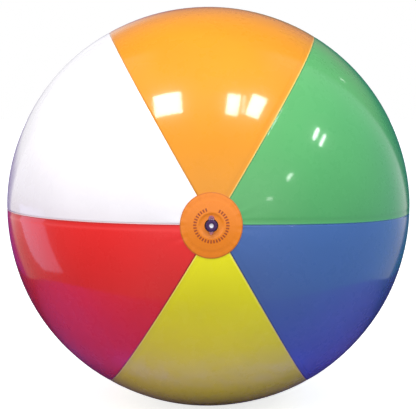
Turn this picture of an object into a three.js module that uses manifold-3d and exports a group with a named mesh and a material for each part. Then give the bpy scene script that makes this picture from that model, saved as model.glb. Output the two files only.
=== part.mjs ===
// Inflatable beach ball: six film panels lap-welded along their long edges, a film disc over
// each pole where the panel tips end, and a push-in air valve behind the front disc.
//
// Units are millimetres and +Z is up. The origin is the ball's centre. The poles lie on the
// Y axis, with the valve at the -Y pole. Around that axis, azimuth 0 points along +X and
// azimuth 90 degrees along +Z, so it runs anticlockwise for someone who looks at the valve.
// A "level" is a distance from the centre towards the valve, so its Y is minus the level.
import * as THREE from "three";
import { mergeVertices } from "three/addons/utils/BufferGeometryUtils.js";
import Module from "manifold-3d";

const wasm = await Module();
wasm.setup();

// ---------------------------------------------------------------- driving dimensions

// Film envelope
const BALL_RADIUS = 200; // outside of the panels
const FILM = 0.3; // film thickness
const FILM_GAP = 0.3; // between two films that are welded together
const SEAM_LAP = 6; // how far a panel's hidden margin runs under the next panel
const SEAM_STEP_WIDTH = 1.5; // where the film steps down to pass under the next panel
const SEAM_EDGE_GAP = 0.4; // from the foot of that step to the next panel's cut edge
const TIP_RADIUS = 15.7; // the round hole that the panel tips leave at each pole
const DISC_LAP = 11.8; // how far a pole disc runs out over the panel tips

// Facets of the envelope. Both counts are odd, so one facet faces straight down.
const CELLS_ACROSS = 7; // facets across one panel
const CELLS_ALONG = 21; // facets from one disc's edge to the other's

// Recess in the front disc
const DIMPLE_DEPTH = 1.2;
const DIMPLE_SLOPE_WIDTH = 2;

// Valve flange, a ring welded behind the front disc
const FLANGE_RADIUS = 9;
const FLANGE_THICKNESS = 0.8;

// Valve stem
const BORE_RADIUS = 3.2;
const STEM_WALL = 1.2;
const STEM_LENGTH = 16;
const RIM_OVERHANG = 0.5; // the lip at the mouth, past the stem's side
const RIM_THICKNESS = 1;
const RIM_TO_DISC_GAP = 0.3;
const GRIP_RING_HEIGHT = 0.35;
const GRIP_RING_WIDTH = 0.8;
const GRIP_RING_PITCH = 2.4;
const GRIP_RINGS = 3;
const COLLAR_OVERHANG = 0.9; // the ring that the skirt joins, past the stem's side
const COLLAR_THICKNESS = 1;
const WELL_CLEARANCE = 0.5; // from the collar to the hole in the disc and flange
const SEAT_LEDGE = 0.6; // the flap's seat narrows the bore by this
const SEAT_THICKNESS = 0.8;

// Rolling skirt between flange and stem
const SKIRT_LENGTH = 9;
const SKIRT_WALL = 0.5;
const MOULDED_GAP = 0.3; // between nodes that are one moulding on the real valve

// Check flap under the stem's inner end
const FLAP_THICKNESS = 0.5;
const FLAP_GAP = 0.25;
const FLAP_INSET = 0.5; // from the stem's side to the flap's edge
const FLAP_HINGE_WIDTH = 3;
const FLAP_HINGE_LENGTH = 0.4;

// Plug, its pull tab and its strap
const HEAD_RADIUS = 4.85;
const HEAD_THICKNESS = 1.2;
const HEAD_EDGE_ROUND = 0.3;
const HEAD_GAP = 0.2; // under the head, to the stem's rim
const SHANK_LENGTH = 4;
const SHANK_CLEARANCE = 0.15;
const SHANK_RINGS = 5; // levels at which the shank's taper is worked out
const PLUG_WALL = 1.15; // from the shank's side to its moulded hollow
const HOLLOW_DEPTH = 3;
const TAB_WIDTH = 3.2;
const TAB_REACH = 2.65; // past the head's edge
const TAB_THICKNESS = 0.9;
const STRAP_WIDTH = 5;
const STRAP_THICKNESS = 0.5;
const STRAP_HINGE_OFFSET = 1.2; // from the head's edge to the line that the strap bends about
const EAR_MARGIN = 0.4; // from the ear's end to the foot of the dimple's slope

const ROUND_SIDES = 32; // sides of the valve's round pieces
const JOIN_DEPTH = 0.6; // how far a lug reaches into the round piece that it is joined to

// ---------------------------------------------------------------- worked-out dimensions

const PANELS = [
  { name: "panel_green", color: 0x4db866 },
  { name: "panel_orange", color: 0xf7a01e },
  { name: "panel_white", color: 0xf6f6f8 },
  { name: "panel_red", color: 0xd8262c },
  { name: "panel_yellow", color: 0xe8dc28 },
  { name: "panel_blue", color: 0x2f56a8 },
];
const DISC_COLOR = 0xf47c20;
const VALVE_COLOR = 0xd9d3ea;

const PANEL_ANGLE = (2 * Math.PI) / PANELS.length;
const CELL_ANGLE = PANEL_ANGLE / CELLS_ACROSS;
const LAP_STEP = FILM + FILM_GAP;
const TIP_ANGLE = Math.asin(TIP_RADIUS / BALL_RADIUS);
const DISC_ANGLE = Math.asin((TIP_RADIUS + DISC_LAP) / BALL_RADIUS);
const DISC_INSIDE = BALL_RADIUS + FILM_GAP;
const DISC_OUTSIDE = DISC_INSIDE + FILM;

const STEM_RADIUS = BORE_RADIUS + STEM_WALL;
const RIM_RADIUS = STEM_RADIUS + RIM_OVERHANG;
const COLLAR_RADIUS = STEM_RADIUS + COLLAR_OVERHANG;
const WELL_RADIUS = COLLAR_RADIUS + WELL_CLEARANCE;

const LAND_LEVEL = DISC_OUTSIDE - DIMPLE_DEPTH; // the dimple's flat floor
const FLANGE_TOP = LAND_LEVEL - FILM - FILM_GAP;
const FLANGE_BOTTOM = FLANGE_TOP - FLANGE_THICKNESS;
const RIM_BOTTOM = LAND_LEVEL + RIM_TO_DISC_GAP;
const RIM_TOP = RIM_BOTTOM + RIM_THICKNESS;
const STEM_END = RIM_TOP - STEM_LENGTH;
const SKIRT_TOP = FLANGE_BOTTOM - MOULDED_GAP;
const SKIRT_BOTTOM = SKIRT_TOP - SKIRT_LENGTH;
const COLLAR_TOP = SKIRT_BOTTOM - MOULDED_GAP;

const HEAD_BOTTOM = RIM_TOP + HEAD_GAP;
const HEAD_TOP = HEAD_BOTTOM + HEAD_THICKNESS;
const STRAP_BOTTOM = RIM_TOP + MOULDED_GAP;
const EAR_REACH = FLANGE_RADIUS - EAR_MARGIN;
const HINGE_HEIGHT = HEAD_RADIUS + STRAP_HINGE_OFFSET; // above the valve's axis
const HINGE_LEVEL = STRAP_BOTTOM + STRAP_THICKNESS / 2;
const FLAP_RADIUS = STEM_RADIUS - FLAP_INSET;
const FLAP_TOP = STEM_END - FLAP_GAP;

// ---------------------------------------------------------------- geometry helpers

// The point at a distance from the centre, a polar angle from the valve's pole and an azimuth.
function spherePoint(radius, polar, azimuth) {
  const ring = radius * Math.sin(polar);
  return new THREE.Vector3(
    ring * Math.cos(azimuth),
    -radius * Math.cos(polar),
    ring * Math.sin(azimuth),
  );
}

// A closed skin from two grids of points with the same rows and columns: the outside, the
// inside, and a wall around their four edges.
function sheetGeometry(outside, inside) {
  const rows = outside.length;
  const columns = outside[0].length;
  const points = [...outside.flat(), ...inside.flat()];
  const at = (row, column) => row * columns + column;
  const inner = rows * columns;
  const index = [];
  const quad = (a, b, c, d) => index.push(a, b, c, a, c, d);
  for (let row = 0; row + 1 < rows; row++) {
    for (let column = 0; column + 1 < columns; column++) {
      const a = at(row, column);
      const b = at(row, column + 1);
      const c = at(row + 1, column + 1);
      const d = at(row + 1, column);
      quad(a, d, c, b);
      quad(inner + a, inner + b, inner + c, inner + d);
    }
  }
  const wall = (from, to) => quad(from, to, inner + to, inner + from);
  for (let column = 0; column + 1 < columns; column++) {
    wall(at(0, column), at(0, column + 1));
    wall(at(rows - 1, column + 1), at(rows - 1, column));
  }
  for (let row = 0; row + 1 < rows; row++) {
    wall(at(row + 1, 0), at(row, 0));
    wall(at(row, columns - 1), at(row + 1, columns - 1));
  }
  return new THREE.BufferGeometry().setFromPoints(points).setIndex(index);
}

// A solid of revolution about the valve's axis from a closed outline of [radius, level] pairs,
// listed anticlockwise: outwards along the bottom and back along the top.
function spin(outline, sides = ROUND_SIDES, firstAngle = 0) {
  const closed = [outline[0], ...outline.toReversed()];
  const profile = closed.map(([radius, level]) => new THREE.Vector2(radius, -level));
  return new THREE.LatheGeometry(profile, sides, firstAngle, 2 * Math.PI);
}

function solidOf(geometry) {
  const bare = geometry.clone();
  bare.deleteAttribute("normal");
  bare.deleteAttribute("uv");
  const merged = mergeVertices(bare);
  return new wasm.Manifold(
    new wasm.Mesh({
      numProp: 3,
      vertProperties: new Float32Array(merged.attributes.position.array),
      triVerts: new Uint32Array(merged.index.array),
    }),
  );
}

function geometryOf(solid) {
  const mesh = solid.getMesh();
  return new THREE.BufferGeometry()
    .setAttribute("position", new THREE.BufferAttribute(mesh.vertProperties, 3))
    .setIndex(new THREE.BufferAttribute(mesh.triVerts, 1));
}

// A flat lug that stands out from the valve's axis, up for side 1 and down for side -1, from
// one height to another, with a rounded end.
function lug(width, from, to, bottom, thickness, side) {
  const half = width / 2;
  const shape = new THREE.Shape();
  shape.moveTo(-half, from);
  shape.lineTo(half, from);
  shape.lineTo(half, to - half);
  shape.absarc(0, to - half, half, 0, Math.PI, false);
  shape.lineTo(-half, from);
  const options = { depth: thickness, bevelEnabled: false, curveSegments: 12 };
  const geometry = new THREE.ExtrudeGeometry(shape, options);
  geometry.rotateX(Math.PI / 2);
  if (side < 0) geometry.rotateY(Math.PI);
  return geometry.translate(0, -bottom, 0);
}

// ---------------------------------------------------------------- film envelope

// Polar angles of the panels' rings of points, from the valve's pole to the rear one.
function panelRings() {
  const step = (Math.PI - 2 * DISC_ANGLE) / CELLS_ALONG;
  const between = Array.from({ length: CELLS_ALONG + 1 }, (_, i) => DISC_ANGLE + i * step);
  return [TIP_ANGLE, ...between, Math.PI - TIP_ANGLE];
}

// One ring of a panel's points, drop being the depth below the film's outside. The hidden
// margin beyond the far edge follows the facet of the next panel that it lies under.
function panelRing(polar, start, drop) {
  const ringRadius = BALL_RADIUS * Math.sin(polar);
  const end = start + PANEL_ANGLE;
  const surface = BALL_RADIUS - drop;
  const points = [];
  for (let cell = 0; cell < CELLS_ACROSS; cell++) {
    points.push(spherePoint(surface, polar, start + cell * CELL_ANGLE));
  }
  points.push(spherePoint(surface, polar, end - SEAM_STEP_WIDTH / ringRadius));
  points.push(spherePoint(surface - LAP_STEP, polar, end - SEAM_EDGE_GAP / ringRadius));
  const near = spherePoint(surface - LAP_STEP, polar, end);
  const far = spherePoint(surface - LAP_STEP, polar, end + CELL_ANGLE);
  const share = Math.min(1, SEAM_LAP / near.distanceTo(far));
  points.push(near.lerp(far, share));
  return points;
}

function panel(start) {
  const rings = panelRings();
  return sheetGeometry(
    rings.map((polar) => panelRing(polar, start, 0)),
    rings.map((polar) => panelRing(polar, start, FILM)),
  );
}

// [radius, level] on a sphere about the ball's centre, at a polar angle or at a radius.
const onSphere = (sphere, polar) => [sphere * Math.sin(polar), sphere * Math.cos(polar)];
const atRadius = (sphere, radius) => [radius, Math.sqrt(sphere ** 2 - radius ** 2)];

// A disc's sides line up with the panels' facets, so that the film below keeps its gap.
const DISC_SIDES = CELLS_ACROSS * PANELS.length;
const DISC_FIRST_ANGLE = Math.PI / 2;

function frontDisc() {
  const slopeRadius = FLANGE_RADIUS + DIMPLE_SLOPE_WIDTH;
  const inside = [
    [WELL_RADIUS, LAND_LEVEL - FILM],
    [FLANGE_RADIUS, LAND_LEVEL - FILM],
    atRadius(DISC_INSIDE, slopeRadius),
    onSphere(DISC_INSIDE, TIP_ANGLE),
    onSphere(DISC_INSIDE, DISC_ANGLE),
  ];
  const outside = [
    onSphere(DISC_OUTSIDE, DISC_ANGLE),
    onSphere(DISC_OUTSIDE, TIP_ANGLE),
    atRadius(DISC_OUTSIDE, slopeRadius),
    [FLANGE_RADIUS, LAND_LEVEL],
    [WELL_RADIUS, LAND_LEVEL],
  ];
  return spin([...inside, ...outside], DISC_SIDES, DISC_FIRST_ANGLE);
}

function rearDisc() {
  const inside = [TIP_ANGLE, DISC_ANGLE].map((polar) => onSphere(DISC_INSIDE, polar));
  const outside = [DISC_ANGLE, TIP_ANGLE].map((polar) => onSphere(DISC_OUTSIDE, polar));
  const outline = [[0, DISC_INSIDE], ...inside, ...outside, [0, DISC_OUTSIDE]];
  return spin(outline, DISC_SIDES, DISC_FIRST_ANGLE).rotateX(Math.PI);
}

// ---------------------------------------------------------------- valve

function valveFlange() {
  return spin([
    [WELL_RADIUS, FLANGE_BOTTOM],
    [FLANGE_RADIUS, FLANGE_BOTTOM],
    [FLANGE_RADIUS, FLANGE_TOP],
    [WELL_RADIUS, FLANGE_TOP],
  ]);
}

// The thin wall that rolls over when the stem is pulled out. Here the stem is pushed in, so
// it hangs inwards from the flange and narrows to the stem's collar.
function valveSkirt() {
  return spin([
    [COLLAR_RADIUS - SKIRT_WALL, SKIRT_BOTTOM],
    [COLLAR_RADIUS, SKIRT_BOTTOM],
    [WELL_RADIUS + SKIRT_WALL, SKIRT_TOP],
    [WELL_RADIUS, SKIRT_TOP],
  ]);
}

// The raised rings on the stem's side, as outline points from the inner end outwards.
function gripRings() {
  const first = (COLLAR_TOP + RIM_BOTTOM - (GRIP_RINGS - 1) * GRIP_RING_PITCH) / 2;
  return Array.from({ length: GRIP_RINGS }, (_, i) => {
    const middle = first + i * GRIP_RING_PITCH;
    return [
      [STEM_RADIUS, middle - GRIP_RING_WIDTH / 2],
      [STEM_RADIUS + GRIP_RING_HEIGHT, middle],
      [STEM_RADIUS, middle + GRIP_RING_WIDTH / 2],
    ];
  }).flat();
}

// The tube that is blown into, with a lip at its mouth, the skirt's collar near its inner end
// and the ear that the plug's strap is moulded to.
function valveStem() {
  const seatRadius = BORE_RADIUS - SEAT_LEDGE;
  const tube = spin([
    [seatRadius, STEM_END],
    [STEM_RADIUS, STEM_END],
    [STEM_RADIUS, COLLAR_TOP - COLLAR_THICKNESS],
    [COLLAR_RADIUS, COLLAR_TOP - COLLAR_THICKNESS],
    [COLLAR_RADIUS, COLLAR_TOP],
    [STEM_RADIUS, COLLAR_TOP],
    ...gripRings(),
    [STEM_RADIUS, RIM_BOTTOM],
    [RIM_RADIUS, RIM_BOTTOM],
    [RIM_RADIUS, RIM_TOP],
    [BORE_RADIUS, RIM_TOP],
    [BORE_RADIUS, STEM_END + SEAT_THICKNESS],
    [seatRadius, STEM_END + SEAT_THICKNESS],
  ]);
  const earFrom = RIM_RADIUS - JOIN_DEPTH;
  const ear = lug(STRAP_WIDTH, earFrom, EAR_REACH, RIM_BOTTOM, RIM_THICKNESS, 1);
  return geometryOf(solidOf(tube).add(solidOf(ear)));
}

// The flap that shuts the stem's inner end, with the web at its top that it bends about.
function checkFlap() {
  const disc = spin([
    [0, FLAP_TOP - FLAP_THICKNESS],
    [FLAP_RADIUS, FLAP_TOP - FLAP_THICKNESS],
    [FLAP_RADIUS, FLAP_TOP],
    [0, FLAP_TOP],
  ]);
  const web = new THREE.BoxGeometry(
    FLAP_HINGE_WIDTH,
    FLAP_THICKNESS,
    JOIN_DEPTH + FLAP_HINGE_LENGTH,
  );
  const middle = FLAP_RADIUS + (FLAP_HINGE_LENGTH - JOIN_DEPTH) / 2;
  web.translate(0, FLAP_THICKNESS / 2 - FLAP_TOP, middle);
  return geometryOf(solidOf(disc).add(solidOf(web)));
}

// The shank's radius at a depth below the rim. Its far side turns about the strap's hinge
// line on the way out, and the taper keeps it off the bore all the way.
function shankRadius(depth) {
  const lift = HINGE_LEVEL - RIM_TOP;
  const reach = (HINGE_HEIGHT + BORE_RADIUS) ** 2 + lift ** 2 - (depth + lift) ** 2;
  return Math.sqrt(reach) - HINGE_HEIGHT - SHANK_CLEARANCE;
}

function valvePlug() {
  const depths = Array.from({ length: SHANK_RINGS }, (_, i) => (SHANK_LENGTH * i) / (SHANK_RINGS - 1));
  const shank = depths.reverse().map((depth) => [shankRadius(depth), RIM_TOP - depth]);
  const hollowRadius = shankRadius(0) - PLUG_WALL;
  const head = spin([
    [0, RIM_TOP - SHANK_LENGTH],
    ...shank,
    [shankRadius(0), HEAD_BOTTOM],
    [HEAD_RADIUS, HEAD_BOTTOM],
    [HEAD_RADIUS, HEAD_TOP - HEAD_EDGE_ROUND],
    [HEAD_RADIUS - HEAD_EDGE_ROUND, HEAD_TOP],
    [hollowRadius, HEAD_TOP],
    [hollowRadius, HEAD_TOP - HOLLOW_DEPTH],
    [0, HEAD_TOP - HOLLOW_DEPTH],
  ]);
  const tabFrom = HEAD_RADIUS - JOIN_DEPTH;
  const tab = lug(TAB_WIDTH, tabFrom, HEAD_RADIUS + TAB_REACH, HEAD_BOTTOM, TAB_THICKNESS, -1);
  return geometryOf(solidOf(head).add(solidOf(tab)));
}

// The strap lies on the stem's ear and stops short of the plug's head by the moulded gap.
function plugStrap() {
  const from = HEAD_RADIUS + MOULDED_GAP;
  return lug(STRAP_WIDTH, from, EAR_REACH, STRAP_BOTTOM, STRAP_THICKNESS, 1);
}

// ---------------------------------------------------------------- assembly

function node(name, geometry, color, roughness) {
  const material = new THREE.MeshStandardMaterial({ color, roughness, metalness: 0 });
  const mesh = new THREE.Mesh(geometry, material);
  mesh.name = name;
  return mesh;
}

const FILM_ROUGHNESS = 0.18;
const VALVE_ROUGHNESS = 0.3;

const beachBall = new THREE.Group();
PANELS.forEach(({ name, color }, i) => {
  beachBall.add(node(name, panel(i * PANEL_ANGLE), color, FILM_ROUGHNESS));
});
beachBall.add(
  node("front_disc", frontDisc(), DISC_COLOR, FILM_ROUGHNESS),
  node("rear_disc", rearDisc(), DISC_COLOR, FILM_ROUGHNESS),
  node("valve_flange", valveFlange(), VALVE_COLOR, VALVE_ROUGHNESS),
  node("valve_skirt", valveSkirt(), VALVE_COLOR, VALVE_ROUGHNESS),
  node("valve_stem", valveStem(), VALVE_COLOR, VALVE_ROUGHNESS),
  node("check_flap", checkFlap(), VALVE_COLOR, VALVE_ROUGHNESS),
  node("valve_plug", valvePlug(), VALVE_COLOR, VALVE_ROUGHNESS),
  node("plug_strap", plugStrap(), VALVE_COLOR, VALVE_ROUGHNESS),
);

export default beachBall;
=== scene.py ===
"""Looks of the inflatable beach ball, in metres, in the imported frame's axes.

The ball's centre is the origin. The poles lie on the Y axis with the valve at the -Y pole, and
+Z is up. "Polar" is the angle from the valve's pole, and "azimuth" runs from +X towards +Z.
A "level" is a distance from the centre towards the valve, so its Y is minus the level.
"""

import math

import bmesh
import bpy
import numpy as np
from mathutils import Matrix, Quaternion, Vector


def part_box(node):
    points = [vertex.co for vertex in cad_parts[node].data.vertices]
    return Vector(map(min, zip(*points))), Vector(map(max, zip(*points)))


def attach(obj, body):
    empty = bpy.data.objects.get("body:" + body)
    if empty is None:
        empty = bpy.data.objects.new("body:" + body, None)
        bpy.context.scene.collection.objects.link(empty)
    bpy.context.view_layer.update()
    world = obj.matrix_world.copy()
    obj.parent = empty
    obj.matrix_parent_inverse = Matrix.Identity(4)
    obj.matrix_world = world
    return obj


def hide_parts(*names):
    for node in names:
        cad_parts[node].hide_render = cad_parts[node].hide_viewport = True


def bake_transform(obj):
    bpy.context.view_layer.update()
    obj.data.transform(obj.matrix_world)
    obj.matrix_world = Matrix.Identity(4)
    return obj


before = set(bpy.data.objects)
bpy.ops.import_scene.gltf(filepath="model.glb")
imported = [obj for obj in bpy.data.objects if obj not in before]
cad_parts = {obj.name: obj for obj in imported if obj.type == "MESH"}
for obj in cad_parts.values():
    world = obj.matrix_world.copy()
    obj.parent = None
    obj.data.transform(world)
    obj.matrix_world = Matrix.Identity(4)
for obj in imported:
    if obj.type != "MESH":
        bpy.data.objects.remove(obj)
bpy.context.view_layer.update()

MM = 0.001

# ------------------------------------------------------------------ sizes shared with the CAD

BALL_RADIUS = 200 * MM
FILM = 0.3 * MM
TIP_RADIUS = 15.7 * MM
DISC_RADIUS = 27.5 * MM
FLANGE_RADIUS = 9 * MM
WELL_RADIUS = 5.8 * MM
BORE_RADIUS = 3.2 * MM
STEM_RADIUS = 4.4 * MM
RIM_RADIUS = 4.9 * MM
RIM_THICKNESS = 1 * MM
COLLAR_RADIUS = 5.3 * MM
COLLAR_THICKNESS = 1 * MM
GRIP_RINGS = 3
GRIP_RING_PITCH = 2.4 * MM
GRIP_RING_HEIGHT = 0.35 * MM
GRIP_RING_WIDTH = 0.8 * MM
SEAT_RADIUS = 2.6 * MM
SEAT_THICKNESS = 0.8 * MM
MOULDED_GAP = 0.3 * MM
FLAP_RADIUS = 3.9 * MM
FLAP_HINGE_WIDTH = 3 * MM
HEAD_RADIUS = 4.85 * MM
HEAD_GAP = 0.2 * MM
EAR_REACH = 8.6 * MM
EAR_WIDTH = 5 * MM
TAB_WIDTH = 3.2 * MM
TAB_REACH = 7.5 * MM
TAB_THICKNESS = 0.9 * MM
LUG_ROOT = 0.6 * MM  # how far a lug reaches into the round piece that it grows from
HINGE_HEIGHT = 6.05 * MM

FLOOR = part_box("panel_yellow")[0].z
LAND_LEVEL = 199.4 * MM  # the floor of the front disc's dimple
FLANGE_TOP = -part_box("valve_flange")[0].y
FLANGE_BOTTOM = -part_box("valve_flange")[1].y
RIM_TOP = -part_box("valve_stem")[0].y
STEM_END = -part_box("valve_stem")[1].y
SKIRT_BOTTOM = -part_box("valve_skirt")[1].y
HEAD_TOP = -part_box("valve_plug")[0].y
SHANK_END = -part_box("valve_plug")[1].y
FLAP_TOP = -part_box("check_flap")[0].y
FLAP_BOTTOM = -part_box("check_flap")[1].y
STRAP_TOP = -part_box("plug_strap")[0].y
STRAP_BOTTOM = -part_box("plug_strap")[1].y

# ------------------------------------------------------------------ panels and their colours

PANELS = ["green", "orange", "white", "red", "yellow", "blue"]
PANEL_ANGLE = 2 * math.pi / len(PANELS)
FILM_COLORS = {
    "green": (0.092, 0.40, 0.122),
    "orange": (0.74, 0.275, 0.003),
    "white": (0.90, 0.90, 0.92),
    "red": (0.86, 0.024, 0.024),
    "yellow": (0.91, 0.89, 0.005),
    "blue": (0.060, 0.148, 0.40),
    "disc": (0.84, 0.23, 0.004),
}
# The colours painted along a film's cut edge: on green, orange and yellow a paler, stretched edge
# with a painted highlight where the edge catches light; on red, blue and the front disc painted
# shade along the edge.
PAINTED_CUT_LINES = {
    "green": (0.10, 0.45, 0.20),
    "orange": (0.95, 0.66, 0.16),
    "white": (0.90, 0.90, 0.92),
    "red": (0.42, 0.012, 0.010),
    "yellow": (0.96, 0.86, 0.16),
    "blue": (0.02, 0.04, 0.14),
    "disc": (0.55, 0.14, 0.01),
}
# The colour where a film dips below its neighbour: painted shade in the step, and a paler line on
# yellow.
PAINTED_LAP_LINES = {
    "green": (0.05, 0.22, 0.07),
    "orange": (0.50, 0.20, 0.02),
    "white": (0.86, 0.82, 0.84),
    "red": (0.34, 0.01, 0.01),
    "yellow": (0.96, 0.88, 0.20),
    "blue": (0.03, 0.09, 0.26),
    "disc": (0.55, 0.14, 0.01),
}
PRINT_COLOR = (0.30, 0.045, 0.003)
# The plug is painted near-black violet: painted shade for the dark inside of the ball seen through
# its clear vinyl.
PLUG_SHADE_COLOR = (0.06, 0.012, 0.12)
VALVE_COLOR = (0.85, 0.52, 0.70)

# ------------------------------------------------------------------ the inflated film's surface

WIDEN = 1.004  # sideways, because the ball sags a little under its own weight
FLATTEN = 0.9952  # upwards, for the same reason
SEAM_SINK = 0.12 * MM
SEAM_SINK_WIDTH = 9 * MM
PUCKER = 0.015 * MM
PUCKER_LENGTH = 17 * MM
PUCKER_SWELL = 41 * MM  # how slowly the pucker grows and fades along a seam
PUCKER_REACH = 14 * MM
PUCKER_PHASE = 1.7  # these two put each seam out of step with the next
SWELL_PHASE = 2.6
POLE_FOLD = 0.07 * MM
POLE_FOLD_REACH = 14 * MM
POLE_FOLD_WAVES = [(17, 0.6, 1), (29, 2.1, 0.7)]  # folds round the pole, phase and share
WELD_RING_RADIUS = 23.2 * MM
WELD_RING_HALF_WIDTH = 1.3 * MM
WELD_RING_SLOPE = 0.3 * MM
WELD_RING_DEPTH = 0.1 * MM
LAP_STEP = FILM + 0.05 * MM
SETTLE = 0.15 * MM  # how gently the film turns on to the floor
DISC_OVAL = 0.034  # the discs are cut a little taller than wide

# How far the panels' seams lie off the valve's axis: to the right and up at the valve, and the
# same at the ball's side, where they are turned about the axis as well.
SEAM_SHIFT_AT_VALVE = (2.15 * MM, 0.6 * MM)
SEAM_SHIFT_AT_SIDE = (2.1 * MM, -1.65 * MM)
SEAM_TURN_AT_SIDE = -1.75 * MM
SIDE_ANGLE = 1.1  # polar, of that side
REAR_ANGLES = (1.6, 2.8)  # polar, between which the seams return to their plain places

# Wave vectors per metre and amplitudes of the film's slow unevenness.
SLOW_WAVES = [
    ((31, 12, 44), 0.10 * MM),
    ((-22, 47, 18), 0.09 * MM),
    ((52, -19, -27), 0.07 * MM),
    ((14, 33, -58), 0.06 * MM),
    ((-61, 8, 35), 0.04 * MM),
]


def direction(polar, azimuth):
    """The unit vectors from the ball's centre at these angles."""
    ring = np.sin(polar)
    return np.stack([ring * np.cos(azimuth), -np.cos(polar), ring * np.sin(azimuth)], axis=-1)


def smooth(value, low, high):
    """From 0 to 1 as the value goes from low to high, level at both ends."""
    t = np.clip((value - low) / (high - low), 0, 1)
    return t * t * (3 - 2 * t)


def seam_azimuth(seam, polar):
    """Where a seam lies, by its number, at a polar angle."""
    plain = seam * PANEL_ANGLE
    to_side = smooth(polar, 0, SIDE_ANGLE)
    right, up = (
        at_valve * (1 - to_side) + at_side * to_side
        for at_valve, at_side in zip(SEAM_SHIFT_AT_VALVE, SEAM_SHIFT_AT_SIDE)
    )
    offset = up * np.cos(plain) - right * np.sin(plain) + SEAM_TURN_AT_SIDE * to_side
    to_rear = 1 - smooth(polar, *REAR_ANGLES)
    return plain + to_rear * offset / (BALL_RADIUS * np.sin(polar))


def slow_height(polar, azimuth):
    """The film's slow unevenness."""
    out = direction(polar, azimuth) * BALL_RADIUS
    return sum(
        size * np.sin(out @ np.array(wave) + 2 * i) for i, (wave, size) in enumerate(SLOW_WAVES)
    )


def seam_height(polar, azimuth):
    """The shallow valley along each seam, and the slight pucker of its weld."""
    around = BALL_RADIUS * np.sin(polar)
    along = BALL_RADIUS * polar
    seam = np.round(azimuth / PANEL_ANGLE)
    beside = around * np.abs(azimuth - seam_azimuth(seam, polar))
    valley = -SEAM_SINK * np.exp(-((beside / SEAM_SINK_WIDTH) ** 2))
    phase = 2 * math.pi * along / PUCKER_LENGTH + PUCKER_PHASE * seam
    uneven = 0.6 + 0.4 * np.sin(along / PUCKER_SWELL + SWELL_PHASE * seam)
    pucker = PUCKER * uneven * np.sin(phase) * np.exp(-beside / PUCKER_REACH)
    return smooth(around, DISC_RADIUS, 2 * DISC_RADIUS) * (valley + pucker)


def pole_height(polar, azimuth):
    """Fine folds that run out from a pole disc, and the pressed ring that welds the disc on."""
    around = BALL_RADIUS * np.sin(polar)
    folds = sum(size * np.sin(count * azimuth + phase) for count, phase, size in POLE_FOLD_WAVES)
    fade = np.exp(-np.abs(around - DISC_RADIUS) / POLE_FOLD_REACH)
    folds = POLE_FOLD * folds * fade * smooth(around, TIP_RADIUS, DISC_RADIUS)
    from_ring = np.abs(around - WELD_RING_RADIUS)
    ring = smooth(from_ring, WELD_RING_HALF_WIDTH + WELD_RING_SLOPE, WELD_RING_HALF_WIDTH)
    return folds - WELD_RING_DEPTH * ring


def film_height(polar, azimuth):
    """How far the film stands above the plain sphere."""
    return slow_height(polar, azimuth) + seam_height(polar, azimuth) + pole_height(polar, azimuth)


def film_point(polar, azimuth, drop):
    """A point of the film, drop below its outside, resting on the floor where it is low enough."""
    radius = BALL_RADIUS + film_height(polar, azimuth) - drop
    point = direction(polar, azimuth) * radius[..., None]
    point[..., 0] *= WIDEN
    point[..., 2] *= FLATTEN
    above = point[..., 2] - (FLOOR + drop)
    point[..., 2] += 0.5 * (np.sqrt(above**2 + SETTLE**2) - above)
    return point


# ------------------------------------------------------------------ mesh helpers


SHARP_ANGLE = math.radians(38)  # edges that turn by more than this are shaded sharp
ROUND_SIDES = 96


def finish_mesh(name, vertices, faces):
    """A clean, outward-facing, smooth-shaded object from points and faces."""
    mesh = bpy.data.meshes.new(name)
    mesh.from_pydata([tuple(v) for v in vertices], [], faces)
    bm = bmesh.new()
    bm.from_mesh(mesh)
    bmesh.ops.remove_doubles(bm, verts=bm.verts, dist=0.002 * MM)
    bmesh.ops.recalc_face_normals(bm, faces=bm.faces)
    bm.to_mesh(mesh)
    bm.free()
    mesh.shade_smooth()
    mesh.set_sharp_from_angle(angle=SHARP_ANGLE)
    piece = bpy.data.objects.new(name, mesh)
    bpy.context.scene.collection.objects.link(piece)
    return piece


def shell_faces(rows, columns, wrap=False):
    """Faces of a closed skin around two grids of points, the outside's first."""
    inner = rows * columns
    faces = []
    last = columns if wrap else columns - 1
    for row in range(rows - 1):
        for column in range(last):
            a = row * columns + column
            b = row * columns + (column + 1) % columns
            faces.append((a, a + columns, b + columns, b))
            faces.append((inner + a, inner + b, inner + b + columns, inner + a + columns))
    for column in range(last):
        after = (column + 1) % columns
        foot = (rows - 1) * columns
        faces.append((column, after, inner + after, inner + column))
        faces.append((foot + after, foot + column, inner + foot + column, inner + foot + after))
    if not wrap:
        for row in range(rows - 1):
            a = row * columns
            b = a + columns - 1
            faces.append((a + columns, a, inner + a, inner + a + columns))
            faces.append((b, b + columns, inner + b + columns, inner + b))
    return faces


def grid_shell(name, outside, inside, wrap=False):
    """A piece from the grids of its outside and inside, closed round the axis where it wraps."""
    rows, columns = outside.shape[:2]
    points = np.concatenate([outside.reshape(-1, 3), inside.reshape(-1, 3)])
    return finish_mesh(name, points, shell_faces(rows, columns, wrap))


ON_AXIS = 1e-9


def rounded(outline, radius, steps=4):
    """A closed outline of 2-D corners with each corner rounded, less where its edges are short."""
    points = []
    count = len(outline)
    for i, corner in enumerate(outline):
        corner = Vector(corner)
        before = Vector(outline[i - 1]) - corner
        after = Vector(outline[(i + 1) % count]) - corner
        reach = 0 if corner.x < ON_AXIS else min(radius, 0.45 * before.length, 0.45 * after.length)
        if reach == 0:
            points.append(corner)
            continue
        first = corner + before.normalized() * reach
        last = corner + after.normalized() * reach
        for step in range(steps + 1):
            t = step / steps
            points.append(first * (1 - t) ** 2 + corner * 2 * t * (1 - t) + last * t**2)
    return points


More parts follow.
